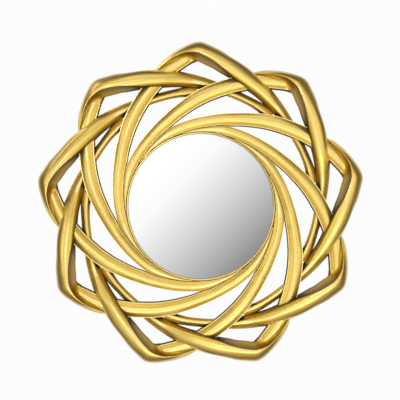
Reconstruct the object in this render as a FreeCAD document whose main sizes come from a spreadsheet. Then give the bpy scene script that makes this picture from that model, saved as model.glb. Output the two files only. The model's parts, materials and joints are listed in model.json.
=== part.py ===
import FreeCAD, Part
import math
import os

import Sketcher
from FreeCAD import Placement, Rotation, Vector

# Wall mirror with a woven frame of nine strands.
# Millimetres. The front faces -Y, +Z is up, and y = 0 is the wall.
# The origin is the middle of the mirror, on the wall plane.
# Plan angles are degrees clockwise from straight up, seen from the front.
# Depths are distances in front of the wall.

SIZES = (
    # the frame of strands
    ("corner_radius", 400, "centre to the outermost corner of a strand"),
    ("strand_width", 38.5, "rising limb, across"),
    ("ledge_height", 20, "rising limb, back to the flat ledge beside its crown"),
    ("ledge_width", 1.6, "flat ledge on each side of the crown"),
    ("side_lean", 1.4, "side walls of the rising limb, how far they lean in up to the ledge"),
    ("rising_height", 28, "rising limb, back to the top of its crown"),
    ("over_width", 34, "over limb, across its crown"),
    ("over_height", 57, "over limb, back to the top of its crown"),
    ("seam", 0.3, "gap between strands that lie side by side or cross"),
    # the glass and what holds it
    ("opening_radius", 175, "visible glass"),
    ("glass_lap", 6, "glass behind the lip of the carrier ring"),
    ("glass_thick", 4, "mirror glass"),
    ("glass_arris", 0.5, "ground edge of the glass"),
    ("glass_play", 1, "room round the glass in its rebate"),
    ("cushion_thick", 1.5, "foam between the glass and the board"),
    ("cushion_width", 16, "foam ring, across"),
    ("rim_inset", 0.4, "edge of the opening to the bead round the glass"),
    ("rim_wall", 3.8, "bead round the glass, across"),
    ("rim_height", 4.5, "bead round the glass, in front of the carrier"),
    ("rim_round", 1.2, "rounding of the bead's front edges"),
    ("carrier_wall", 18, "carrier ring, from its rebate to the outside"),
    ("carrier_thick", 9, "carrier ring"),
    ("board_inset", 0.5, "backing board, in from the outside of the carrier ring"),
    ("board_thick", 6, "backing board"),
    ("board_edge", 1, "eased edge of the backing board"),
    # fasteners
    ("screw_play", 0.25, "room round a screw in the piece it bites"),
    ("hole_play", 0.3, "room round a screw in a piece it passes through"),
    ("strand_screw_radius", 2, "shank of a strand screw"),
    ("strand_screw_length", 13.4, "strand screw under its head"),
    ("strand_head_radius", 4, "head of a strand screw"),
    ("strand_head_thick", 2.6, "head of a strand screw"),
    ("head_sink", 0.2, "head of a strand screw, below the back of the carrier"),
    ("board_screw_radius", 1.75, "shank of a board screw"),
    ("board_screw_length", 12.5, "board screw under its head"),
    ("pan_head_radius", 3.5, "head of a board or hanger screw"),
    ("pan_head_thick", 2.2, "head of a board or hanger screw"),
    ("pan_head_round", 0.9, "rounding of a pan head"),
    ("drive_width", 0.9, "cross recess in a screw head, across an arm"),
    ("drive_reach", 2, "cross recess, middle to the end of an arm"),
    ("drive_depth", 1.1, "cross recess, deep"),
    ("point_length", 3, "tapered point of a screw"),
    ("point_radius", 0.5, "end of a screw's point"),
    # hangers and bumpers
    ("hanger_screw_length", 13.5, "hanger screw under its head"),
    ("strap_width", 14, "hanger strap, across"),
    ("ply_thick", 1, "sheet that the strap is folded from"),
    ("strap_end", 7, "lower screw hole to the end of the strap"),
    ("strap_round", 3, "cut corner of the strap's end"),
    ("eye_clear", 0.3, "strap's eye to the back of the board"),
    ("first_hole", 8, "hinge line to the upper screw hole"),
    ("hole_step", 10, "between the strap's two screw holes"),
    ("wire_radius", 1.5, "wire of the hanger loop"),
    ("hinge_play", 0.08, "room round the wire in the strap's eye"),
    ("bar_half", 7.5, "straight half of the loop's bar"),
    ("bend_radius", 3, "bend at each end of the bar, on the wire's centre"),
    ("loop_reach", 33, "hinge line to the far end of the loop, on the wire's centre"),
    ("bumper_radius", 8, "wall bumper"),
    ("bumper_thick", 6, "wall bumper, and so the gap from the board to the wall"),
    ("bumper_round", 1.5, "rounded edge of a bumper"),
    ("bumper_inset", 10, "middle of a bumper, in from the rebate of the carrier ring"),
    ("overrun", 5, "how far a cutting shape runs past what it cuts"),
)

STRANDS = 9
PITCH = 360 / STRANDS
FIRST_CORNER = -0.8
BUMPERS = 4
SCREW_ANGLES = (-87.2, -107.2)
BOARD_SCREW_ANGLE = -97.2
HANGER_ANGLE = 40
HANGER_SIDES = (("left", -1), ("right", 1))

# Outer edge of a strand's root, from its tip to where the limb swings free.
# Angle from the strand's own corner, and share of the way from the root
# circle to the corner circle. One pitch further on, the same line is the
# inner edge of the next strand.
ROOT_EDGE_SHARES = (
    (-140, 0.000),
    (-135, 0.008),
    (-130, 0.016),
    (-125, 0.026),
    (-120, 0.038),
    (-115, 0.053),
    (-110, 0.072),
    (-105, 0.094),
    (-100, 0.112),
    (-95, 0.122),
    (-90, 0.133),
    (-85, 0.147),
    (-80, 0.163),
    (-75, 0.182),
    (-70, 0.206),
    (-65, 0.236),
    (-60, 0.273),
)
ROOT_ANGLES = (-133, -130, -125, -120, -115, -110, -105, -100, -95, -90, -85, -80, -75, -70, -65)
ROOT_TIP_LEDGE_SHARE = 0.76
ROOT_FREE_LEDGE_SHARE = 0.88
ROOT_CROWN_SHARE = 0.8
ROOT_FULL_WIDTH_SHARE = 0.8

# Free part of the rising limb: angle from the corner, share of the way out,
# and shares of the strand's width, ledge height and crown rise.
RISING_SHARES = (
    (-60, 0.190, 0.84, 0.89, 0.95),
    (-55, 0.228, 0.86, 0.92, 1.00),
    (-50, 0.269, 0.89, 0.96, 1.00),
    (-45, 0.318, 0.93, 1.00, 1.00),
    (-40, 0.371, 0.97, 1.00, 1.00),
    (-35, 0.426, 0.99, 1.00, 1.00),
    (-30, 0.483, 1.00, 1.00, 1.00),
    (-25, 0.546, 1.00, 1.00, 1.00),
    (-20, 0.612, 1.00, 1.00, 1.00),
    (-15, 0.685, 0.99, 1.00, 1.00),
    (-10, 0.749, 0.95, 1.00, 1.00),
    (-7, 0.784, 0.90, 1.00, 1.00),
    (-5.5, 0.800, 0.85, 1.00, 1.00),
    (-4, 0.815, 0.79, 0.96, 0.93),
    (-2.8, 0.827, 0.74, 0.83, 0.60),
    (-1.5, 0.838, 0.69, 0.68, 0.25),
    (0.5, 0.851, 0.62, 0.50, 0.04),
)

# Over limb: angle from the corner, share of the way out to the middle of
# the crown, shares of its width and height, how far its outer and inner
# walls run out as shares of its width, how hollow the inner wall is, and how
# far up the crown the inner wall ends.
OVER_SHARES = (
    (-17, 0.741, 0.044, 0.380, 0.17, 0.10, 0.3, 0.50),
    (-14, 0.779, 0.050, 0.490, 0.30, 0.30, 0.7, 0.50),
    (-10, 0.823, 0.065, 0.650, 0.39, 0.54, 1.0, 0.60),
    (-7.5, 0.843, 0.085, 0.750, 0.46, 0.61, 1.0, 0.70),
    (-5, 0.858, 0.120, 0.840, 0.54, 0.64, 1.0, 0.80),
    (-2.5, 0.865, 0.280, 0.930, 0.60, 0.55, 0.7, 0.80),
    (0, 0.867, 0.450, 0.980, 0.62, 0.39, 0.1, 0.85),
    (2.5, 0.844, 0.530, 1.000, 0.55, 0.37, 0.0, 0.85),
    (5, 0.818, 0.610, 1.000, 0.49, 0.35, 0.0, 0.85),
    (7.5, 0.790, 0.700, 0.990, 0.42, 0.29, 0.0, 0.80),
    (10, 0.762, 0.800, 0.970, 0.32, 0.26, 0.0, 0.75),
    (15, 0.711, 1.000, 0.910, 0.23, 0.11, 0.0, 0.55),
    (20, 0.666, 1.080, 0.820, 0.20, 0.07, 0.0, 0.35),
    (25, 0.629, 1.060, 0.710, 0.14, 0.03, 0.0, 0.15),
    (30, 0.604, 1.020, 0.560, 0.09, 0.05, 0.0, 0.00),
    (35, 0.578, 0.870, 0.420, 0.09, 0.14, 0.0, 0.00),
    (40, 0.554, 0.734, 0.325, 0.07, 0.19, 0.0, 0.00),
    (45, 0.527, 0.644, 0.275, 0.06, 0.16, 0.0, 0.00),
    (50, 0.498, 0.677, 0.250, 0.04, 0.04, 0.0, 0.00),
    (57, 0.473, 0.582, 0.235, 0.05, 0.03, 0.0, 0.00),
    (67, 0.456, 0.570, 0.230, 0.05, 0.03, 0.0, 0.00),
    (73, 0.448, 0.629, 0.230, 0.07, 0.03, 0.0, 0.00),
    (79, 0.436, 0.636, 0.230, 0.07, 0.04, 0.0, 0.00),
)

# Shape of a section: how square the shoulders of each limb's crown are, how
# much further a proud shoulder's pole reaches, how high the crown of the over
# limb stands as a share of its width, where the outer wall bulges, how far
# the crown leans with it, and where the flat and the hollow inner walls turn.
RISING_FULLNESS_SHARE = 0.66
OVER_FULLNESS_SHARE = 0.93
PROUD_REACH_SHARE = 0.25
CROWN_RISE_SHARE = 0.43
BULGE_SHARES = (0.92, 0.62)
LEAN_SHARE = 0.45
FLAT_WALL_SHARES = ((0.70, 0.30), (0.35, 0.65))
HOLLOW_WALL_SHARES = ((1.00, 1.08), (0.20, 1.18))

# Which stretch of a neighbour is cut from a strand, and whose: the limb,
# its first and last angle, and how many strands further on it belongs.
CROSSINGS = (
    ("rising", -38, 1, 1),
    ("over", -17, 5, 1),
    ("over", 30, 67, -2),
    ("over", 57, 79, -3),
    ("over", 30, 50, 1),
)

doc = FreeCAD.newDocument("wall_mirror")


def make_sheet():
    # Driving sizes, one to a row, under a plain name.
    sheet = doc.addObject("Spreadsheet::Sheet", "sizes")
    for row, (name, value, note) in enumerate(SIZES, start=1):
        sheet.set("A" + str(row), str(value))
        sheet.setAlias("A" + str(row), name)
        sheet.set("B" + str(row), note)
    doc.recompute()
    return sheet


def amount(formula):
    # What a formula on the sheet comes to.
    return float(sheet.evalExpression(formula))


sheet = make_sheet()
size = {name: float(sheet.get(name)) for name, value, note in SIZES}
nodes = []

# Formulas on the sheet: depths of the layers, back to front.
BOARD_BACK = "sizes.bumper_thick"
BOARD_FRONT = BOARD_BACK + " + sizes.board_thick"
GLASS_BACK = BOARD_FRONT + " + sizes.cushion_thick"
LIP_BACK = GLASS_BACK + " + sizes.glass_thick"
CARRIER_FRONT = BOARD_FRONT + " + sizes.carrier_thick"

# Formulas on the sheet: radii, from the opening outwards.
GLASS_RADIUS = "sizes.opening_radius + sizes.glass_lap"
REBATE_RADIUS = GLASS_RADIUS + " + sizes.glass_play"
SCREW_CIRCLE = REBATE_RADIUS + " + sizes.carrier_wall / 2"
CARRIER_RADIUS = REBATE_RADIUS + " + sizes.carrier_wall"
BOARD_RADIUS = CARRIER_RADIUS + " - sizes.board_inset"
BUMPER_CIRCLE = REBATE_RADIUS + " - sizes.bumper_inset"
RIM_INNER = "sizes.opening_radius + sizes.rim_inset"
RIM_OUTER = RIM_INNER + " + sizes.rim_wall"
ROOT_RADIUS = RIM_OUTER + " + sizes.seam"

# What some of them come to.
board_front = amount(BOARD_FRONT)
carrier_front = amount(CARRIER_FRONT)
root_radius = amount(ROOT_RADIUS)
screw_circle = amount(SCREW_CIRCLE)


def plan(angle, radius, depth=0):
    # A point by its clockwise angle, radius and depth in front of the wall.
    turn = math.radians(angle)
    return Vector(radius * math.sin(turn), -depth, radius * math.cos(turn))


def between(table, angle):
    # Value of a two-column table at an angle, on straight lines between rows.
    if angle <= table[0][0]:
        return table[0][1]
    for low, high in zip(table, table[1:]):
        if angle <= high[0]:
            part = (angle - low[0]) / (high[0] - low[0])
            return low[1] + part * (high[1] - low[1])
    return table[-1][1]


def keep(thing, name):
    # Marks an object as a piece of the mirror.
    thing.Label = name
    nodes.append(thing)
    return thing


# The strands


def skin(sections):
    # A solid through sections. Each section is a closed row of edges, and
    # each edge a row of poles. Poles of one place lie on one smooth line.
    middles = []
    for section in sections:
        total = Vector()
        for poles in section:
            total = total + poles[0]
        middles.append(total / len(section))
    stops = [0]
    for here, there in zip(middles, middles[1:]):
        stops.append(stops[-1] + math.sqrt((there - here).Length))
    stops = [stop / stops[-1] for stop in stops]
    faces = []
    for edge in range(len(sections[0])):
        lines = []
        for pole in range(len(sections[0][edge])):
            line = Part.BSplineCurve()
            line.interpolate(Points=[section[edge][pole] for section in sections], Parameters=stops)
            lines.append(line)
        order = len(lines)
        surface = Part.BSplineSurface()
        surface.buildFromPolesMultsKnots(
            [line.getPoles() for line in lines],
            [order, order],
            lines[0].getMultiplicities(),
            [0, 1],
            lines[0].getKnots(),
            False,
            False,
            order - 1,
            lines[0].Degree,
        )
        faces.append(surface.toShape())
    for section in (sections[0], sections[-1]):
        edges = []
        for poles in section:
            curve = Part.BezierCurve()
            curve.setPoles(poles)
            edges.append(curve.toShape())
        faces.append(Part.Face(Part.Wire(edges)))
    pile = Part.Compound(faces)
    pile.sewShape()
    solid = Part.Solid(pile.Shells[0])
    if solid.Volume < 0:
        solid.reverse()
    return solid


def closed(points):
    # Straight edges from point to point and back to the first.
    return [[here, there] for here, there in zip(points, points[1:] + points[:1])]


def pole_rise(rise, proud=0):
    # The middle of a crown reaches three quarters of the way to its poles,
    # and more of it if the start shoulder stands proud.
    return rise * (4 - proud) / 3


def crown(start, end, rise, fullness, lean=0, proud=0):
    # Poles of a rounded top between two shoulders. Lean moves the pole of
    # the end shoulder back. Proud is the share of the rise that the start
    # shoulder stands above the end shoulder.
    width = Vector(end.x - start.x, 0, end.z - start.z)
    ahead = width * (1 - fullness + proud * PROUD_REACH_SHARE)
    back = width * max(lean / width.Length, 1 - fullness)
    start_up = Vector(0, -(pole_rise(rise, proud) - rise * proud), 0)
    end_up = Vector(0, -pole_rise(rise, proud), 0)
    return [start, start + ahead + start_up, end - back + end_up, end]


class StrandShape:
    # A strand with its corner straight up. Clear makes it wider, taller and
    # longer all round, and back is the depth that its flat back is cut to.

    def __init__(self, clear, back):
        self.clear = clear
        self.back = back
        self.span = size["corner_radius"] - root_radius

    def radius(self, share):
        return root_radius + share * self.span

    def root_edge(self, angle):
        return self.radius(between(ROOT_EDGE_SHARES, angle))

    def at(self, foot, height):
        # A point above a foot, measured from the back of the strands.
        return Vector(foot.x, -board_front - height, foot.z)

    def on_back(self, foot):
        return Vector(foot.x, -self.back, foot.z)

    def frames(self, rows):
        # Middle of each section, and the way across it, outwards.
        middles = [plan(row[0], self.radius(row[1])) for row in rows]
        found = []
        for place, middle in enumerate(middles):
            before = middles[max(place - 1, 0)]
            after = middles[min(place + 1, len(middles) - 1)]
            along = (after - before).normalize()
            found.append((middle, Vector(-along.z, 0, along.x)))
        return found

    def rising_rows(self):
        # Angle, outer and inner foot, ledge height and crown rise.
        gap = size["seam"] / 2
        full_rise = size["rising_height"] - size["ledge_height"]
        ends = ((ROOT_ANGLES[0], ROOT_TIP_LEDGE_SHARE), (ROOT_ANGLES[-1], ROOT_FREE_LEDGE_SHARE))
        rows = []
        for angle in ROOT_ANGLES:
            outer = self.root_edge(angle) - gap
            inner = max(self.root_edge(angle - PITCH) + gap, root_radius)
            fullness = min(1, (outer - inner) / (size["strand_width"] * ROOT_FULL_WIDTH_SHARE))
            ledge = size["ledge_height"] * between(ends, angle)
            rise = full_rise * ROOT_CROWN_SHARE * fullness
            rows.append((angle, plan(angle, outer), plan(angle, inner), ledge, rise))
        for row, (middle, out) in zip(RISING_SHARES, self.frames(RISING_SHARES)):
            angle, share, wide, ledge, rise = row
            half = size["strand_width"] * wide / 2
            inner = middle - out * half
            inner_angle = math.degrees(math.atan2(inner.x, inner.z))
            least = self.root_edge(inner_angle - PITCH) + gap
            if inner.Length < least:
                inner = plan(inner_angle, least)
            rows.append((angle, middle + out * half, inner, size["ledge_height"] * ledge, full_rise * rise))
        return rows

    def rising_section(self, outer, inner, ledge, rise):
        # A flat-backed bar with a ledge on each side of a rounded crown.
        across = outer - inner
        out = across / across.Length
        narrowing = across.Length / size["strand_width"]
        lean = out * (size["side_lean"] * narrowing)
        step = lean + out * (size["ledge_width"] * narrowing)
        outer = outer + out * self.clear
        inner = inner - out * self.clear
        top = ledge + self.clear
        left = self.at(inner + step, top)
        right = self.at(outer - step, top)
        outer_side = [right, self.at(outer - lean, top), self.on_back(outer)]
        inner_side = [self.on_back(inner), self.at(inner + lean, top), left]
        return closed(outer_side + inner_side)[:-1] + [crown(left, right, rise, RISING_FULLNESS_SHARE)]

    def over_section(self, middle, out, row):
        # A tall bar whose crown rolls over into a bulging outer wall. Beside
        # the rising limb its inner wall is hollow and runs out over that limb.
        angle, share, wide, high, out_run, in_run, hollow, proud = row
        half = size["over_width"] * wide / 2 + self.clear
        top = size["over_height"] * high + self.clear
        rise = 2 * half * CROWN_RISE_SHARE
        shoulder = top - rise
        outer_run = size["over_width"] * out_run
        inner_run = size["over_width"] * in_run
        left = self.at(middle - out * half, shoulder + rise * proud)
        right = self.at(middle + out * half, shoulder)
        outer = middle + out * (half + outer_run)
        inner = middle - out * (half + inner_run)
        turns = []
        for flat, curved in zip(FLAT_WALL_SHARES, HOLLOW_WALL_SHARES):
            straight = self.at(middle - out * (half + inner_run * flat[0]), shoulder * flat[1])
            bowed = self.at(middle - out * (half + inner_run * curved[0]), size["ledge_height"] * curved[1])
            turns.append(straight * (1 - hollow) + bowed * hollow)
        knee, pull = turns
        swell, drop = BULGE_SHARES
        bulge = self.at(middle + out * (half + outer_run * swell), shoulder * drop)
        slope = outer_run * swell / (shoulder * (1 - drop))
        lean = min(pole_rise(rise) * slope, 2 * half * LEAN_SHARE)
        over_crown = crown(left, right, rise, OVER_FULLNESS_SHARE, lean, proud)
        return [
            [right, bulge, self.on_back(outer)],
            [self.on_back(outer), self.on_back(inner)],
            [self.on_back(inner), knee],
            [knee, pull, left],
            over_crown,
        ]

    def lengthened(self, sections, outward):
        # Moves the end sections outwards by the clearance.
        if not self.clear:
            return sections
        first, last = outward
        moved = [[pole - first * self.clear for pole in edge] for edge in sections[0]]
        ended = [[pole + last * self.clear for pole in edge] for edge in sections[-1]]
        return [moved] + sections[1:-1] + [ended]

    def rising(self, first=-180, last=180):
        rows = [row for row in self.rising_rows() if first <= row[0] <= last]
        sections = [self.rising_section(*row[1:]) for row in rows]
        middles = [(row[1] + row[2]) / 2 for row in rows]
        return skin(self.lengthened(sections, self.end_ways(middles)))

    def over(self, first=-180, last=180):
        chosen = [
            (row, middle, out)
            for row, (middle, out) in zip(OVER_SHARES, self.frames(OVER_SHARES))
            if first <= row[0] <= last
        ]
        sections = [self.over_section(middle, out, row) for row, middle, out in chosen]
        return skin(self.lengthened(sections, self.end_ways([middle for row, middle, out in chosen])))

    def end_ways(self, middles):
        # The way along the limb at its first and at its last section.
        return (middles[1] - middles[0]).normalize(), (middles[-1] - middles[-2]).normalize()


def turned(shape, angle):
    copy = shape.copy()
    copy.Placement = Placement(Vector(), Rotation(Vector(0, 1, 0), angle))
    return copy


def disc(radius, back, front):
    # A round block on the mirror's axis between two depths.
    return Part.makeCylinder(radius, front - back, Vector(0, -back, 0), Vector(0, -1, 0))


def strand_shape():
    # The rising limb and the over limb in one, with their back cut flat.
    run = size["overrun"]
    solid = StrandShape(0, board_front - run / 2).rising().fuse(StrandShape(0, board_front - run).over())
    reach = size["corner_radius"] * 2
    behind = disc(reach, board_front - run - reach, board_front)
    solid = solid.cut(behind)
    # Room for the neighbours that this strand crosses.
    for limb, first, last, steps in CROSSINGS:
        other = StrandShape(size["seam"], board_front - run)
        stretch = other.rising(first, last) if limb == "rising" else other.over(first, last)
        solid = solid.cut(turned(stretch, PITCH * steps))
    # Seat of the carrier ring, and the pilot holes of the strand's screws.
    seat = disc(amount(CARRIER_RADIUS) + size["seam"], board_front - run, carrier_front)
    solid = solid.cut(seat)
    hole_end = strand_screw_tip + size["screw_play"]
    for angle in SCREW_ANGLES:
        foot = plan(angle, screw_circle, carrier_front - run)
        radius = size["strand_screw_radius"] + size["screw_play"]
        solid = solid.cut(Part.makeCylinder(radius, hole_end - carrier_front + run, foot, Vector(0, -1, 0)))
    return solid.removeSplitter()


strand_screw_head = board_front + size["head_sink"]
strand_screw_tip = strand_screw_head + size["strand_head_thick"] + size["strand_screw_length"]


def make_strands():
    shape = strand_shape()
    for number in range(STRANDS):
        name = "strand_" + str(number + 1)
        strand = doc.addObject("Part::Feature", name)
        strand.Shape = shape
        strand.Placement = Placement(Vector(), Rotation(Vector(0, 1, 0), FIRST_CORNER + PITCH * number))
        keep(strand, name)


# Helpers for the other pieces. A formula is words on the sheet.


def new_body(name):
    body = doc.addObject("PartDesign::Body", name)
    body.AllowCompound = True
    body.Label = name
    return body


def origin_part(body, role):
    return next(part for part in body.Origin.OriginFeatures if part.Role == role)


def new_sketch(body, name, plane, shift=("0", "0", "0")):
    # A sketch on a plane of the body's origin, shifted along its own axes.
    sketch = body.newObject("Sketcher::SketchObject", name)
    sketch.AttachmentSupport = [(origin_part(body, plane), "")]
    sketch.MapMode = "FlatFace"
    for axis, formula in zip("xyz", shift):
        if formula != "0":
            sketch.setExpression("AttachmentOffset.Base." + axis, formula)
    return sketch


def outline(sketch, points):
    # A closed line through points, each held by two formulas.
    spots = [Vector(*(amount(formula) for formula in point)) for point in points]
    for here, there in zip(spots, spots[1:] + spots[:1]):
        sketch.addGeometry(Part.LineSegment(here, there))
    for edge in range(len(points)):
        following = (edge + 1) % len(points)
        sketch.addConstraint(Sketcher.Constraint("Coincident", edge, 2, following, 1))
    for edge, point in enumerate(points):
        for kind, axis, formula in zip(("DistanceX", "DistanceY"), (-2, -1), point):
            if formula == "0":
                sketch.addConstraint(Sketcher.Constraint("PointOnObject", edge, 1, axis))
            else:
                place = sketch.addConstraint(Sketcher.Constraint(kind, -1, 1, edge, 1, amount(formula)))
                sketch.setExpression("Constraints[" + str(place) + "]", formula)


def circle(sketch, formula):
    # A circle about the sketch's own origin.
    sketch.addGeometry(Part.Circle(Vector(), Vector(0, 0, 1), amount(formula)))
    sketch.addConstraint(Sketcher.Constraint("Coincident", 0, 3, -1, 1))
    place = sketch.addConstraint(Sketcher.Constraint("Radius", 0, amount(formula)))
    sketch.setExpression("Constraints[" + str(place) + "]", formula)


def turned_part(body, name, profile, up="0", side="0"):
    # A solid of revolution about an axis that points away from the wall.
    # The profile is a row of depths and radii, the axis is up and aside.
    sketch = new_sketch(body, name + "_profile", "YZ_Plane", ("0", up, side))
    outline(sketch, [("-(" + depth + ")", radius) for depth, radius in profile])
    part = body.newObject("PartDesign::Revolution", name)
    part.Profile = sketch
    part.ReferenceAxis = (sketch, ["H_Axis"])
    part.Angle = 360
    return part


def ring_pattern(body, name, originals, count, first):
    # Repeats features all round the mirror, the first at a plan angle.
    pattern = body.newObject("PartDesign::PolarPattern", name)
    pattern.Originals = originals
    pattern.Axis = (origin_part(body, "Y_Axis"), [""])
    pattern.Angle = 360
    pattern.Occurrences = count
    body.Tip = pattern
    body.Placement = Placement(Vector(), Rotation(Vector(0, 1, 0), first))


def corner_pattern(body, name, originals):
    # Repeats features one hole step higher, and both in the other hanger.
    pattern = body.newObject("PartDesign::MultiTransform", name)
    pattern.Originals = originals
    higher = body.newObject("PartDesign::LinearPattern", name + "_higher")
    higher.Direction = (origin_part(body, "Z_Axis"), [""])
    higher.setExpression("Length", "sizes.hole_step")
    higher.Occurrences = 2
    across = body.newObject("PartDesign::Mirrored", name + "_across")
    across.MirrorPlane = (origin_part(body, "YZ_Plane"), [""])
    pattern.Transformations = [higher, across]
    body.Tip = pattern


def drive(body, name, depth, up, side="0"):
    # A cross recess in a screw head whose back is at a depth.
    sketch = new_sketch(body, name + "_outline", "XZ_Plane", (side, up, depth))
    thin = "sizes.drive_width / 2"
    long = "sizes.drive_reach"
    quarter = [(thin, thin), (thin, long), ("-" + thin, long), ("-" + thin, thin)]
    points = []
    for turn in range(4):
        points += quarter[:-1]
        quarter = [(opposite(up), across) for across, up in quarter]
    outline(sketch, points)
    recess = body.newObject("PartDesign::Pocket", name)
    recess.Profile = sketch
    recess.setExpression("Length", "sizes.drive_depth")
    recess.Reversed = True
    return recess


def opposite(formula):
    return formula[1:] if formula.startswith("-") else "-" + formula


def hole_profile(start, steps):
    # A stepped hole from a starting depth, each step to a depth at a radius.
    points = [(start, "0")]
    here = start
    for there, radius in steps:
        points += [(here, radius), (there, radius)]
        here = there
    return points + [(here, "0")]


def move_to(thing, place):
    for axis, formula in zip("xyz", place):
        thing.setExpression("Placement.Base." + axis, formula)


def primitive(kind, name, lengths, place, turn):
    thing = doc.addObject("Part::" + kind, name)
    for key, formula in lengths.items():
        thing.setExpression(key, formula)
    thing.Placement = Placement(Vector(), turn)
    move_to(thing, place)
    return thing


def cut(name, base, tools):
    # A piece with other shapes taken out of it.
    tool = tools[0]
    if len(tools) > 1:
        tool = doc.addObject("Part::Compound", name + "_holes")
        tool.Links = tools
    thing = doc.addObject("Part::Cut", name)
    thing.Base = base
    thing.Tool = tool
    return keep(thing, name)


# Screws and the holes they need

STRAND_HEAD = BOARD_FRONT + " + sizes.head_sink"
STRAND_SEAT = STRAND_HEAD + " + sizes.strand_head_thick"
BOARD_HEAD = BOARD_BACK + " - sizes.pan_head_thick"
BOARD_TIP = BOARD_BACK + " + sizes.board_screw_length"
STRAP_BACK = BOARD_BACK + " - 2 * sizes.ply_thick"
HANGER_HEAD = STRAP_BACK + " - sizes.pan_head_thick"
HANGER_TIP = STRAP_BACK + " + sizes.hanger_screw_length"
HANGER_SIDE = "(" + SCREW_CIRCLE + ") * sin(" + str(HANGER_ANGLE) + " deg)"
HANGER_UP = "(" + SCREW_CIRCLE + ") * cos(" + str(HANGER_ANGLE) + " deg) - sizes.hole_step / 2"
HINGE_UP = HANGER_UP + " + sizes.hole_step + sizes.first_hole"
BEHIND = BOARD_BACK + " - 2 * sizes.overrun"
STRAND_FIRST = FIRST_CORNER + SCREW_ANGLES[0]
BOARD_FIRST = FIRST_CORNER + BOARD_SCREW_ANGLE


def make_strand_screws():
    body = new_body("strand_screws")
    profile = (
        [(STRAND_HEAD, "0"), (STRAND_HEAD, "sizes.strand_head_radius")]
        + [(STRAND_SEAT, "sizes.strand_screw_radius")]
        + screw_end(STRAND_SEAT + " + sizes.strand_screw_length", "sizes.strand_screw_radius")
    )
    screw = turned_part(body, "strand_screw", profile, SCREW_CIRCLE)
    recess = drive(body, "strand_screw_drive", STRAND_HEAD, SCREW_CIRCLE)
    ring_pattern(body, "strand_screw_ring", [screw, recess], STRANDS * len(SCREW_ANGLES), STRAND_FIRST)
    keep(body, "strand_screws")


def screw_end(tip, shank):
    return [(tip + " - sizes.point_length", shank), (tip, "sizes.point_radius"), (tip, "0")]


def pan_screw(head_back, tip):
    seat = head_back + " + sizes.pan_head_thick"
    return [
        (head_back, "0"),
        (head_back, "sizes.pan_head_radius - sizes.pan_head_round"),
        (head_back + " + sizes.pan_head_round", "sizes.pan_head_radius"),
        (seat, "sizes.pan_head_radius"),
        (seat, "sizes.board_screw_radius"),
    ] + screw_end(tip, "sizes.board_screw_radius")


def make_board_screws():
    body = new_body("board_screws")
    screw = turned_part(body, "board_screw", pan_screw(BOARD_HEAD, BOARD_TIP), SCREW_CIRCLE)
    recess = drive(body, "board_screw_drive", BOARD_HEAD, SCREW_CIRCLE)
    ring_pattern(body, "board_screw_ring", [screw, recess], STRANDS, BOARD_FIRST)
    keep(body, "board_screws")


def make_hanger_screws():
    body = new_body("hanger_screws")
    screw = turned_part(body, "hanger_screw", pan_screw(HANGER_HEAD, HANGER_TIP), HANGER_UP, HANGER_SIDE)
    recess = drive(body, "hanger_screw_drive", HANGER_HEAD, HANGER_UP, HANGER_SIDE)
    corner_pattern(body, "hanger_screw_corners", [screw, recess])
    keep(body, "hanger_screws")


def make_strand_holes():
    # Countersunk holes through the carrier ring.
    body = new_body("strand_screw_holes")
    wide = "sizes.strand_head_radius + sizes.hole_play"
    narrow = "sizes.strand_screw_radius + sizes.hole_play"
    front = CARRIER_FRONT + " + sizes.overrun"
    profile = [
        (BEHIND, "0"),
        (BEHIND, wide),
        (STRAND_HEAD, wide),
        (STRAND_SEAT, narrow),
        (front, narrow),
        (front, "0"),
    ]
    hole = turned_part(body, "strand_screw_hole", profile, SCREW_CIRCLE)
    ring_pattern(body, "strand_hole_ring", [hole], STRANDS * len(SCREW_ANGLES), STRAND_FIRST)
    return body


def small_hole(tip):
    # Clear of the screw through the board, then close in the carrier ring.
    clear = (BOARD_FRONT, "sizes.board_screw_radius + sizes.hole_play")
    close = (tip + " + sizes.screw_play", "sizes.board_screw_radius + sizes.screw_play")
    return hole_profile(BEHIND, [clear, close])


def make_board_holes():
    body = new_body("board_screw_holes")
    hole = turned_part(body, "board_screw_hole", small_hole(BOARD_TIP), SCREW_CIRCLE)
    ring_pattern(body, "board_hole_ring", [hole], STRANDS, BOARD_FIRST)
    return body


def make_hanger_holes():
    body = new_body("hanger_screw_holes")
    hole = turned_part(body, "hanger_screw_hole", small_hole(HANGER_TIP), HANGER_UP, HANGER_SIDE)
    corner_pattern(body, "hanger_hole_corners", [hole])
    return body


# The glass and what holds it


def round_front(body, feature, name, depth, formula):
    # Rounds the circular edges of a feature that lie at one depth.
    doc.recompute()
    rounding = body.newObject("PartDesign::Fillet", name)
    edges = []
    for place, edge in enumerate(feature.Shape.Edges, start=1):
        if all(math.isclose(-vertex.Y, depth) for vertex in edge.Vertexes) and len(edge.Vertexes) == 1:
            edges.append("Edge" + str(place))
    rounding.Base = (feature, edges)
    rounding.setExpression("Radius", formula)
    return rounding


def band(back, front, inner, outer):
    # The section of a plain ring.
    return [(back, inner), (back, outer), (front, outer), (front, inner)]


def make_rim():
    body = new_body("rim_ring")
    front = CARRIER_FRONT + " + sizes.rim_height"
    bead = turned_part(body, "rim_bead", band(CARRIER_FRONT, front, RIM_INNER, RIM_OUTER))
    round_front(body, bead, "rim_rounding", amount(front), "sizes.rim_round")
    keep(body, "rim_ring")


def make_glass():
    body = new_body("mirror_glass")
    profile = [
        (GLASS_BACK, "0"),
        (GLASS_BACK, GLASS_RADIUS + " - sizes.glass_arris"),
        (GLASS_BACK + " + sizes.glass_arris", GLASS_RADIUS),
        (LIP_BACK + " - sizes.glass_arris", GLASS_RADIUS),
        (LIP_BACK, GLASS_RADIUS + " - sizes.glass_arris"),
        (LIP_BACK, "0"),
    ]
    turned_part(body, "glass_disc", profile)
    keep(body, "mirror_glass")


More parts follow.
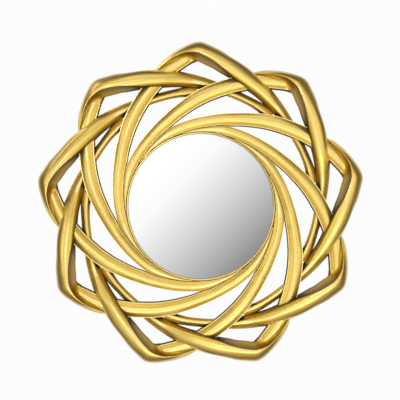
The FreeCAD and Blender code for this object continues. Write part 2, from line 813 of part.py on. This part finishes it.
def make_cushion():
    body = new_body("glass_cushion")
    inner = GLASS_RADIUS + " - sizes.cushion_width"
    turned_part(body, "cushion_ring", band(BOARD_FRONT, GLASS_BACK, inner, GLASS_RADIUS))
    keep(body, "glass_cushion")


def make_carrier(holes):
    body = new_body("carrier_blank")
    profile = [
        (BOARD_FRONT, REBATE_RADIUS),
        (BOARD_FRONT, CARRIER_RADIUS),
        (CARRIER_FRONT, CARRIER_RADIUS),
        (CARRIER_FRONT, "sizes.opening_radius"),
        (LIP_BACK, "sizes.opening_radius"),
        (LIP_BACK, REBATE_RADIUS),
    ]
    turned_part(body, "carrier_section", profile)
    cut("carrier_ring", body, holes)


def make_board(holes):
    body = new_body("board_blank")
    profile = [
        (BOARD_BACK, "0"),
        (BOARD_BACK, BOARD_RADIUS + " - sizes.board_edge"),
        (BOARD_BACK + " + sizes.board_edge", BOARD_RADIUS),
        (BOARD_FRONT, BOARD_RADIUS),
        (BOARD_FRONT, "0"),
    ]
    turned_part(body, "board_disc", profile)
    cut("backing_board", body, holes)


def make_bumpers():
    body = new_body("wall_bumpers")
    profile = [
        ("0", "0"),
        ("0", "sizes.bumper_radius - sizes.bumper_round"),
        ("sizes.bumper_round", "sizes.bumper_radius"),
        (BOARD_BACK, "sizes.bumper_radius"),
        (BOARD_BACK, "0"),
    ]
    bumper = turned_part(body, "wall_bumper", profile, BUMPER_CIRCLE)
    ring_pattern(body, "bumper_ring", [bumper], BUMPERS, 0)
    keep(body, "wall_bumpers")


# Hangers

EYE_INNER = "(sizes.wire_radius + sizes.hinge_play)"
EYE_OUTER = "(sizes.wire_radius + sizes.hinge_play + sizes.ply_thick)"
HINGE_DEPTH = "(" + BOARD_BACK + " - " + EYE_OUTER + " - sizes.eye_clear)"
LOOP_HALF = "(sizes.bar_half + sizes.bend_radius)"


def hinge_place(side):
    return (str(side) + " * " + HANGER_SIDE, "-" + HINGE_DEPTH, HINGE_UP)


def make_strap(name, side, holes):
    # Two plies on the board, folded into an eye at the top.
    body = new_body("hanger_strap_" + name + "_blank")
    eye_sketch = new_sketch(body, "eye_outline_" + name, "YZ_Plane")
    circle(eye_sketch, EYE_OUTER)
    eye = body.newObject("PartDesign::Pad", "eye_" + name)
    eye.Profile = eye_sketch
    eye.setExpression("Length", "sizes.strap_width")
    eye.SideType = "Symmetric"
    lift = EYE_INNER + " + sizes.eye_clear - sizes.ply_thick"
    plies_sketch = new_sketch(body, "plies_outline_" + name, "XZ_Plane", ("0", "0", lift))
    wide = "sizes.strap_width / 2"
    low = "sizes.first_hole + sizes.hole_step + sizes.strap_end"
    outline(
        plies_sketch,
        [
            ("-" + wide, "-sizes.ply_thick"),
            ("-" + wide, "sizes.strap_round - (" + low + ")"),
            ("sizes.strap_round - " + wide, "-(" + low + ")"),
            (wide + " - sizes.strap_round", "-(" + low + ")"),
            (wide, "sizes.strap_round - (" + low + ")"),
            (wide, "-sizes.ply_thick"),
        ],
    )
    plies = body.newObject("PartDesign::Pad", "plies_" + name)
    plies.Profile = plies_sketch
    plies.setExpression("Length", "2 * sizes.ply_thick")
    bore_sketch = new_sketch(body, "bore_outline_" + name, "YZ_Plane")
    circle(bore_sketch, EYE_INNER)
    bore = body.newObject("PartDesign::Pocket", "bore_" + name)
    bore.Profile = bore_sketch
    bore.setExpression("Length", "2 * sizes.strap_width")
    bore.SideType = "Symmetric"
    body.Tip = bore
    move_to(body, hinge_place(side))
    cut("hanger_strap_" + name, body, holes)


def make_loop(name, side):
    # A bent wire: a straight bar in the eye, two legs and a round end.
    wire = "sizes.wire_radius"
    far = "sizes.loop_reach - " + LOOP_HALF
    flat = Rotation(Vector(1, 0, 0), 90)
    along = Rotation(Vector(0, 1, 0), 90)
    upright = Rotation()
    quarter = {"Radius1": "sizes.bend_radius", "Radius2": wire}
    wide = {"Radius1": LOOP_HALF, "Radius2": wire}
    bar = {"Radius": wire, "Height": "2 * sizes.bar_half"}
    leg = {"Radius": wire, "Height": far + " - sizes.bend_radius"}
    pieces = [primitive("Cylinder", "bar_" + name, bar, ("-sizes.bar_half", "0", "0"), along)]
    for part, sign, start in (("near", "", 0), ("off", "-", 90)):
        bend_turn = flat * Rotation(Vector(0, 0, 1), start)
        middle = (sign + "sizes.bar_half", "0", "-sizes.bend_radius")
        bend = primitive("Torus", part + "_bend_" + name, quarter, middle, bend_turn)
        bend.Angle3 = 90
        foot = (sign + LOOP_HALF, "0", "-(" + far + ")")
        pieces += [bend, primitive("Cylinder", part + "_leg_" + name, leg, foot, upright)]
    end_turn = flat * Rotation(Vector(0, 0, 1), 180)
    end = primitive("Torus", "end_" + name, wide, ("0", "0", "-(" + far + ")"), end_turn)
    end.Angle3 = 180
    loop = doc.addObject("Part::MultiFuse", "hanger_loop_" + name)
    loop.Shapes = pieces + [end]
    move_to(loop, hinge_place(side))
    keep(loop, "hanger_loop_" + name)


def make_all():
    make_strands()
    strand_holes = make_strand_holes()
    board_holes = make_board_holes()
    hanger_holes = make_hanger_holes()
    make_rim()
    make_carrier([strand_holes, board_holes, hanger_holes])
    make_strand_screws()
    make_glass()
    make_cushion()
    make_board([board_holes, hanger_holes])
    make_board_screws()
    for name, side in HANGER_SIDES:
        make_strap(name, side, [hanger_holes])
        make_loop(name, side)
    make_hanger_screws()
    make_bumpers()
    doc.recompute()


def check_all():
    for thing in doc.Objects:
        if "Invalid" in thing.State or "Error" in thing.State:
            raise RuntimeError(thing.Label + " did not compute")
    for node in nodes:
        if node.Shape.isNull() or not node.Shape.isValid() or not node.Shape.Solids:
            raise RuntimeError(node.Label + " has no valid shape")


def write_all():
    os.makedirs("parts", exist_ok=True)
    for node in nodes:
        node.Shape.exportStep("parts/" + node.Label + ".step")
        print(node.Label, len(node.Shape.Solids), round(node.Shape.Volume, 1))


make_all()
check_all()
write_all()
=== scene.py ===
import bpy
import json
import math
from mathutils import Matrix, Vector

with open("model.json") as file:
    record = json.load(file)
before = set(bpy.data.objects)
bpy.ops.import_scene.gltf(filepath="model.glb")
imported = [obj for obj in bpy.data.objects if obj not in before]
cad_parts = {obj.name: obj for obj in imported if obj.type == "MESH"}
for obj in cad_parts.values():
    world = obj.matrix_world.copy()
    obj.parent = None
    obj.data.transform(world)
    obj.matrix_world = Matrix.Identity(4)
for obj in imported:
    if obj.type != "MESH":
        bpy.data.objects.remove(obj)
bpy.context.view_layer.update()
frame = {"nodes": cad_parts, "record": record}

# The photograph is 400 pixels square and taken as from two metres. One of its pixels is this
# long at the strands' back, and the mirror's middle lies a little right of and below the frame's.
FRAME_PIXELS = 400
METRES_PER_PIXEL = 0.0024242
CAMERA_AWAY = 2.0
STRANDS_BACK = 0.012
CENTRE_RIGHT = 0.74
CENTRE_DOWN = 6.3
SENSOR_WIDTH = 36
CLIP_NEAR, CLIP_FAR = 0.05, 50
QUARTER_TURN = math.radians(90)

# Ranges of a noise texture's values: most of them, the few that make specks, and those of fibres.
NOISE = (0.3, 0.7)
SPECKS = (0.66, 0.74)
FIBRES = (0.35, 0.75)

# All of a mask, and the first half of it.
WHOLE = (0.0, 1.0)
FIRST_HALF = (0.0, 0.5)

# How squarely the gold faces the room: 1 is flat on, 0 is a side wall, -1 is the back.
CREST = (0.88, 0.995)
LEVEL = (0.90, 0.98)
ROLLING = (0.94, 0.64)
LIT_SHOULDER = (0.92, 0.75)
SHOULDER = (0.35, 0.80)
POLISHED = (0.60, 0.85)
WALL = (0.66, 0.50)
WALL_LEAN = (0.22, 0.58)
STEEP_EDGE = (0.24, 0.10)
BACK = (-0.3, -0.6)

# How far the gold turns away from the mirror's axis, or towards it where this is negative.
AWAY_LEANING = (0.15, 0.40)
AWAY_SHOULDER = (0.25, 0.50)
AWAY_WALL = (0.35, 0.60)
INNER_WALL = (-0.3, -0.6)

# How far the gold stands in front of the wall plane, in metres.
HIGH_LIMB = (0.040, 0.048)
ABOVE_LEDGE = (0.030, 0.036)
UNDER_CROWN = (0.030, 0.058)
LEDGE_START = (0.0285, 0.0300)
LEDGE_END = (0.0332, 0.0326)

# How open a crease is, from a deep crease full of painted shade to an open surface.
CREASE_REACH = 0.008
CREASE_OPEN = (0.15, 0.80)

# Colours that all the gold shares; some are painted light, painted highlights and painted shade.
SHOULDER_LIGHT_GOLD = (0.80, 0.60, 0.17)
LEDGE_HIGHLIGHT_GOLD = (0.90, 0.76, 0.38)
EDGE_SHADE_BROWN = (0.060, 0.030, 0.006)
CREASE_SHADE_BROWN = (0.075, 0.040, 0.007)
SPECK_BROWN = (0.16, 0.09, 0.02)
BACK_LIGHT = (0.20, 0.14, 0.06)
BACK_DARK = (0.13, 0.09, 0.04)
GOLDEN_GLANCE = (1.0, 0.86, 0.55)

# Colours of the glass and of the fibres in the boards.
SILVER_GREEN = (0.955, 0.965, 0.965)
SILVER_BLUE = (0.965, 0.97, 0.972)
FIBRE_PALE = (0.75, 0.62, 0.45)

# The shader's sockets by the short names that the materials use.
SOCKETS = {
    "color": "Base Color",
    "rough": "Roughness",
    "metal": "Metallic",
    "specular": "Specular IOR Level",
    "tint": "Specular Tint",
    "coat": "Coat Weight",
    "coat_rough": "Coat Roughness",
    "glow": "Emission Color",
    "glow_strength": "Emission Strength",
}


class Nodes:
    """Builds a material's node tree."""

    def __init__(self, name, kind="ShaderNodeBsdfPrincipled"):
        self.material = bpy.data.materials.new(name)
        self.material.use_nodes = True
        self.tree = self.material.node_tree
        self.tree.nodes.clear()
        self.shader = self.add(kind)
        surface = self.add("ShaderNodeOutputMaterial").inputs["Surface"]
        self.tree.links.new(self.shader.outputs[0], surface)

    def add(self, kind, **settings):
        node = self.tree.nodes.new(kind)
        for key, value in settings.items():
            setattr(node, key, value)
        return node

    def feed(self, value, socket):
        """Sets a plain number or colour on the socket, or links what another node gives."""
        if isinstance(value, (int, float)):
            socket.default_value = value
        elif isinstance(value, tuple):
            socket.default_value = (*value, 1.0)
        else:
            self.tree.links.new(value, socket)

    def position(self):
        return self.add("ShaderNodeTexCoord").outputs["Object"]

    def split(self, vector):
        node = self.add("ShaderNodeSeparateXYZ")
        self.feed(vector, node.inputs[0])
        return node.outputs

    def noise(self, scale, detail=4.0, rough=0.55):
        node = self.add("ShaderNodeTexNoise")
        node.inputs["Scale"].default_value = scale
        node.inputs["Detail"].default_value = detail
        node.inputs["Roughness"].default_value = rough
        self.feed(self.position(), node.inputs["Vector"])
        return node.outputs["Fac"]

    def ramp(self, factor, levels):
        """Greys by place along the factor."""
        node = self.add("ShaderNodeValToRGB")
        marks = node.color_ramp.elements
        while len(marks) < len(levels):
            marks.new(0.5)
        for mark, (place, level) in zip(marks, levels):
            mark.position = place
            mark.color = (level, level, level, 1.0)
        self.feed(factor, node.inputs["Fac"])
        return node.outputs["Color"]

    def span(self, value, limits, start=0.0, end=1.0):
        """Goes from start to end while the value goes from the first limit to the second."""
        node = self.add("ShaderNodeMapRange")
        node.inputs["From Min"].default_value, node.inputs["From Max"].default_value = limits
        node.inputs["To Min"].default_value = start
        node.inputs["To Max"].default_value = end
        self.feed(value, node.inputs["Value"])
        return node.outputs["Result"]

    def math(self, operation, one, two):
        node = self.add("ShaderNodeMath", operation=operation)
        self.feed(one, node.inputs[0])
        self.feed(two, node.inputs[1])
        return node.outputs[0]

    def where_all(self, *masks):
        """A mask of the places where all of these hold."""
        common = masks[0]
        for mask in masks[1:]:
            common = self.math("MULTIPLY", common, mask)
        return common

    def outside(self, mask):
        """1 where the mask is 0, and 0 where it is 1."""
        return self.span(mask, WHOLE, start=1.0, end=0.0)

    def mix(self, factor, one, two):
        """A colour that goes from one to two as the factor goes from 0 to 1."""
        node = self.add("ShaderNodeMix", data_type="RGBA")
        self.feed(factor, node.inputs["Factor"])
        first, second = [socket for socket in node.inputs if socket.type == "RGBA"]
        self.feed(one, first)
        self.feed(two, second)
        return [socket for socket in node.outputs if socket.type == "RGBA"][0]

    def bump(self, height, strength, distance):
        node = self.add("ShaderNodeBump")
        node.inputs["Strength"].default_value = strength
        node.inputs["Distance"].default_value = distance
        self.feed(height, node.inputs["Height"])
        self.feed(node.outputs["Normal"], self.shader.inputs["Normal"])

    def finish(self, **inputs):
        for key, value in inputs.items():
            self.feed(value, self.shader.inputs[SOCKETS[key]])
        return self.material


def facing_front(nodes):
    """1 where the surface faces the room, 0 where it faces sideways, -1 where it faces the wall."""
    normal = nodes.add("ShaderNodeNewGeometry").outputs["Normal"]
    return nodes.math("MULTIPLY", nodes.split(normal)["Y"], -1.0)


def facing_outwards(nodes):
    """1 where the surface faces away from the mirror's axis, -1 where it faces the axis."""
    flat = nodes.add("ShaderNodeVectorMath", operation="MULTIPLY")
    flat.inputs[1].default_value = (1.0, 0.0, 1.0)
    nodes.feed(nodes.position(), flat.inputs[0])
    unit = nodes.add("ShaderNodeVectorMath", operation="NORMALIZE")
    nodes.feed(flat.outputs["Vector"], unit.inputs[0])
    along = nodes.add("ShaderNodeVectorMath", operation="DOT_PRODUCT")
    nodes.feed(unit.outputs["Vector"], along.inputs[0])
    nodes.feed(nodes.add("ShaderNodeNewGeometry").outputs["Normal"], along.inputs[1])
    return along.outputs["Value"]


def standing_out(nodes):
    """How far in front of the wall plane the surface lies, in metres."""
    return nodes.math("MULTIPLY", nodes.split(nodes.position())["Y"], -1.0)


def gold(name, crest_highlight, light, deep, shoulder_shade, flank_reflection, shade):
    """Antique gold with painted light: painted highlights on crests, painted shade down shoulders,
    painted grey reflection on walls.
    """
    nodes = Nodes(name)
    front = facing_front(nodes)
    outward = facing_outwards(nodes)
    height = standing_out(nodes)
    tall = nodes.span(height, HIGH_LIMB)
    wall = nodes.span(front, WALL)
    cloud = nodes.span(nodes.noise(scale=7.0, detail=2.0), NOISE)
    # Painted shade browns the gold down the shoulders as it turns away from the room, over a random
    # cloudy tone.
    color = nodes.mix(nodes.span(front, SHOULDER), shoulder_shade, nodes.mix(cloud, light, deep))
    # A painted highlight pales the crests that face the room squarely.
    color = nodes.mix(nodes.span(front, CREST, end=0.5), color, crest_highlight)

    # Painted shade darkens the high crown as it rolls over; its wall has painted grey reflection at
    # the foot, painted shade above.
    leaning = nodes.where_all(nodes.span(outward, AWAY_LEANING), tall)
    rolled_shade = nodes.where_all(leaning, nodes.span(front, ROLLING, end=0.85))
    color = nodes.mix(rolled_shade, color, shade)
    outer = nodes.where_all(nodes.span(outward, AWAY_WALL), wall, nodes.span(height, ABOVE_LEDGE))
    near_crown = nodes.where_all(nodes.span(front, WALL_LEAN), tall)
    color = nodes.mix(outer, color, nodes.mix(near_crown, flank_reflection, shade))

    # Painted light makes the outer shoulder of the low limb paler.
    lit_shoulder = nodes.where_all(nodes.span(outward, AWAY_SHOULDER, end=0.7),
                             nodes.span(front, LIT_SHOULDER), nodes.outside(tall))
    color = nodes.mix(lit_shoulder, color, SHOULDER_LIGHT_GOLD)

    # Painted shade darkens the inner wall under the crown of the high limb and the steep low edges.
    under = nodes.where_all(nodes.span(outward, INNER_WALL), wall, nodes.span(height, UNDER_CROWN))
    color = nodes.mix(under, color, shade)
    edge_shade = nodes.where_all(nodes.span(front, STEEP_EDGE), nodes.outside(outer))
    color = nodes.mix(edge_shade, color, EDGE_SHADE_BROWN)

    # Painted shade darkens the creases and where parts meet, and a painted highlight makes the
    # ledges beside the low crown palest.
    crease_shade = nodes.add("ShaderNodeAmbientOcclusion", samples=8)
    crease_shade.inputs["Distance"].default_value = CREASE_REACH
    color = nodes.mix(nodes.span(crease_shade.outputs["AO"], CREASE_OPEN), CREASE_SHADE_BROWN, color)
    ledge_highlight = nodes.where_all(nodes.span(height, LEDGE_START, end=0.6),
                            nodes.span(height, LEDGE_END), nodes.span(front, LEVEL))
    color = nodes.mix(ledge_highlight, color, LEDGE_HIGHLIGHT_GOLD)
    speck = nodes.noise(scale=420.0, detail=2.0, rough=0.7)
    color = nodes.mix(nodes.span(speck, SPECKS, end=0.3), color, SPECK_BROWN)
    color = nodes.mix(nodes.span(front, BACK), color, nodes.mix(cloud, BACK_LIGHT, BACK_DARK))

    # The walls and edges are dull paint, and only what faces the room is lacquered.
    dull = nodes.math("MAXIMUM", outer, edge_shade)
    metal = nodes.span(dull, WHOLE, start=0.90, end=0.20)
    coat = nodes.where_all(nodes.span(dull, FIRST_HALF, start=0.6, end=0.0),
                           nodes.span(front, POLISHED))
    brushed = nodes.span(nodes.noise(scale=90.0), NOISE, start=0.33, end=0.39)
    rough = nodes.math("MAXIMUM", brushed, nodes.span(edge_shade, WHOLE, end=0.75))
    nodes.bump(nodes.noise(scale=260.0, detail=3.0), strength=0.02, distance=0.001)
    return nodes.finish(color=color, rough=rough, metal=metal, specular=0.3, tint=GOLDEN_GLANCE,
                        coat=coat, coat_rough=0.2)


def silvered_glass():
    """A mirror with the faintest haze."""
    nodes = Nodes("silvered_glass")
    haze = nodes.span(nodes.noise(scale=3.0, detail=2.0), NOISE, start=0.004, end=0.012)
    silver = nodes.mix(nodes.noise(scale=1.5, detail=1.0), SILVER_GREEN, SILVER_BLUE)
    return nodes.finish(color=silver, rough=haze, metal=1.0)


def fibreboard(name, light, dark, rough=0.75):
    """Pressed board: short fibres over soft clouds, with a slightly rough face."""
    nodes = Nodes(name)
    fibre = nodes.noise(scale=900.0, detail=3.0, rough=0.7)
    clouds = nodes.mix(nodes.span(nodes.noise(scale=9.0), NOISE), light, dark)
    color = nodes.mix(nodes.span(fibre, FIBRES, end=0.35), clouds, FIBRE_PALE)
    nodes.bump(fibre, strength=0.12, distance=0.0005)
    matt = nodes.span(fibre, NOISE, start=rough - 0.1, end=rough + 0.1)
    return nodes.finish(color=color, rough=matt, metal=0.0)


def darker(tint, share):
    """The same tint at this share of its brightness."""
    return tuple(value * share for value in tint)


def plated_steel(name, tint, rough):
    """Plated wire and sheet with faint rub marks."""
    nodes = Nodes(name)
    rub = nodes.noise(scale=300.0, rough=0.6)
    color = nodes.mix(nodes.span(rub, NOISE), tint, darker(tint, 0.8))
    nodes.bump(rub, strength=0.04, distance=0.0002)
    worn = nodes.span(rub, NOISE, start=rough, end=rough + 0.12)
    return nodes.finish(color=color, rough=worn, metal=1.0)


def rubber(name, tint, rough, pore):
    """Rubber or foam with pores of the given noise scale."""
    nodes = Nodes(name)
    grain = nodes.noise(scale=pore, detail=3.0, rough=0.6)
    color = nodes.mix(nodes.span(grain, NOISE), tint, darker(tint, 0.6))
    nodes.bump(grain, strength=0.2, distance=0.0004)
    matt = nodes.span(grain, NOISE, start=rough - 0.1, end=rough + 0.08)
    return nodes.finish(color=color, rough=matt, metal=0.0)


finishes = {
    # In both golds the crest colour is a painted highlight, the shoulder colour and shade are
    # painted shade, and the flank colour a painted grey reflection.
    "gold_frame": gold(
        "antique_gold",
        crest_highlight=(0.80, 0.65, 0.25),
        light=(0.68, 0.46, 0.075),
        deep=(0.60, 0.385, 0.05),
        shoulder_shade=(0.46, 0.28, 0.032),
        flank_reflection=(0.37, 0.285, 0.155),
        shade=(0.15, 0.085, 0.015),
    ),
    "gold_rim": gold(
        "rim_gold",
        crest_highlight=(0.78, 0.63, 0.26),
        light=(0.70, 0.50, 0.13),
        deep=(0.62, 0.42, 0.10),
        shoulder_shade=(0.34, 0.21, 0.04),
        flank_reflection=(0.16, 0.11, 0.05),
        shade=(0.12, 0.07, 0.02),
    ),
    "mirror_face": silvered_glass(),
    "cushion_foam": rubber("cushion_foam", (0.03, 0.03, 0.032), rough=0.85, pore=1500.0),
    "carrier_board": fibreboard("carrier_board", (0.40, 0.28, 0.16), (0.31, 0.21, 0.12)),
    "back_board": fibreboard("back_board", (0.26, 0.165, 0.085), (0.20, 0.125, 0.065), rough=0.6),
    "screw_steel": plated_steel("screw_steel", (0.66, 0.64, 0.58), rough=0.28),
    "hanger_steel": plated_steel("hanger_steel", (0.70, 0.70, 0.68), rough=0.2),
    "bumper_rubber": rubber("bumper_rubber", (0.028, 0.028, 0.03), rough=0.6, pore=800.0),
}
for entry in frame["record"]["subparts"]:
    thing = frame["nodes"][entry["node"]]
    thing.data.materials.clear()
    thing.data.materials.append(finishes[entry["material_slot"]])


def staged_plane(name, size, place, tilt, material):
    """A plane that isn't part of the object, tilted about the line that runs left to right."""
    x, y = size[0] / 2, size[1] / 2
    mesh = bpy.data.meshes.new(name)
    mesh.from_pydata([(-x, -y, 0), (x, -y, 0), (x, y, 0), (-x, y, 0)], [], [(0, 1, 2, 3)])
    mesh.materials.append(material)
    thing = bpy.data.objects.new(name, mesh)
    thing.location = place
    thing.rotation_euler = (tilt, 0, 0)
    bpy.context.scene.collection.objects.link(thing)
    return thing


def backdrop():
    """A pale floor below the mirror, and an evenly glowing white wall some way behind it."""
    floor_white = Nodes("floor_white").finish(color=(0.86, 0.86, 0.86), rough=0.9, specular=0.1)
    staged_plane("floor", (12, 12), (0, 0, -1.35), 0, floor_white)
    wall_white = Nodes("wall_white").finish(color=(0.0, 0.0, 0.0), rough=1.0, specular=0.0,
                                            glow=(1.0, 1.0, 1.0), glow_strength=0.98)
    staged_plane("far_wall", (14, 9), (0, 3.0, 2.0), QUARTER_TURN, wall_white)


# The graded card's reach on either side of its middle, in metres to the right plus metres down,
# and its greys: near white at the upper left, then an even fall to the lower right.
CARD_REACH = (-0.955, 0.955)
CARD_LEVELS = ((0.0, 1.08), (0.3, 0.985), (1.0, 0.295))


def reflector():
    """A graded card behind the camera, seen only in the glass."""
    nodes = Nodes("card_grey", "ShaderNodeEmission")
    place = nodes.split(nodes.position())
    along = nodes.span(nodes.math("ADD", place["X"], place["Y"]), CARD_REACH)
    nodes.feed(nodes.ramp(along, CARD_LEVELS), nodes.shader.inputs["Color"])
    card = staged_plane("graded_card", (3.2, 3.2), (0, -6.0, 0), -QUARTER_TURN, nodes.material)
    card.visible_camera = False
    card.visible_diffuse = False
    card.visible_shadow = False


# Panels round an opening that the glass looks through, strongest at the lower right:
# name, right, up, width, height, watts.
PANELS = (
    ("panel_left", -1.0, 0.0, 1.0, 1.0, 2.6),
    ("panel_right", 1.0, 0.0, 1.0, 1.0, 4.2),
    ("panel_top_left", -0.55, 1.0, 1.9, 1.0, 3.5),
    ("panel_top_right", 0.95, 1.0, 1.1, 1.0, 3.2),
    ("panel_low_left", -0.55, -0.95, 1.9, 0.9, 4.3),
    ("panel_low_right", 0.95, -0.95, 1.1, 0.9, 5.5),
    ("panel_near_opening", -0.43, 0.43, 0.25, 0.25, 5.0),
)
PANELS_AWAY = 2.6
PANEL_WHITE = (1.0, 0.99, 0.96)

# Wide soft lights at the sides, above, below and over the upper left edge:
# name, place, the point it faces, width and height, watts.
SOFT_LIGHTS = (
    ("side_left", (-2.8, -1.6, 0.5), (0, 0, 0), (2.4, 2.4), 26),
    ("side_right", (2.8, -1.6, 0.3), (0, 0, 0), (2.4, 2.4), 24),
    ("above", (0, -1.6, 2.8), (0, 0, 0), (3.4, 2.4), 30),
    ("below", (0.3, -1.6, -1.25), (0.2, 0, 0), (2.4, 0.5), 13),
    ("edge_upper_left", (-2.2, 0.6, 2.2), (0, 0, 0), (1.8, 1.8), 34),
)
SOFT_WHITE = (1.0, 1.0, 1.0)
WORLD_WHITE = (1.0, 0.985, 0.96, 1.0)
WORLD_STRENGTH = 0.34


def area_light(name, place, target, size, power, color):
    """A rectangular light that faces its target and isn't seen by the camera."""
    data = bpy.data.lights.new(name, "AREA")
    data.shape = "RECTANGLE"
    data.size, data.size_y = size
    data.energy = power
    data.color = color
    light = bpy.data.objects.new(name, data)
    light.location = place
    light.rotation_mode = "QUATERNION"
    light.rotation_quaternion = (Vector(target) - Vector(place)).to_track_quat("-Z", "Y")
    light.visible_camera = False
    bpy.context.scene.collection.objects.link(light)


def studio():
    """The soft light of the room, the panels and the soft lights."""
    world = bpy.data.worlds.new("studio")
    world.use_nodes = True
    background = world.node_tree.nodes["Background"]
    background.inputs["Color"].default_value = WORLD_WHITE
    background.inputs["Strength"].default_value = WORLD_STRENGTH
    bpy.context.scene.world = world
    for name, right, up, width, height, power in PANELS:
        place = (right, -PANELS_AWAY, up)
        area_light(name, place, (right, 0, up), (width, height), power, PANEL_WHITE)
    for name, place, target, size, power in SOFT_LIGHTS:
        area_light(name, place, target, size, power, SOFT_WHITE)


def camera():
    """The photograph's view, with its small offset of the mirror from the middle."""
    data = bpy.data.cameras.new("camera")
    data.sensor_width = SENSOR_WIDTH
    data.lens = SENSOR_WIDTH * CAMERA_AWAY / (FRAME_PIXELS * METRES_PER_PIXEL)
    data.shift_x = -CENTRE_RIGHT / FRAME_PIXELS
    data.shift_y = CENTRE_DOWN / FRAME_PIXELS
    data.clip_start = CLIP_NEAR
    data.clip_end = CLIP_FAR
    data.dof.use_dof = False
    thing = bpy.data.objects.new("camera", data)
    thing.location = (0, -CAMERA_AWAY - STRANDS_BACK, 0)
    thing.rotation_euler = (QUARTER_TURN, 0, 0)
    bpy.context.scene.collection.objects.link(thing)
    bpy.context.scene.camera = thing


backdrop()
reflector()
studio()
camera()
bpy.context.scene.view_settings.view_transform = "Standard"
bpy.context.scene.view_settings.look = "None"
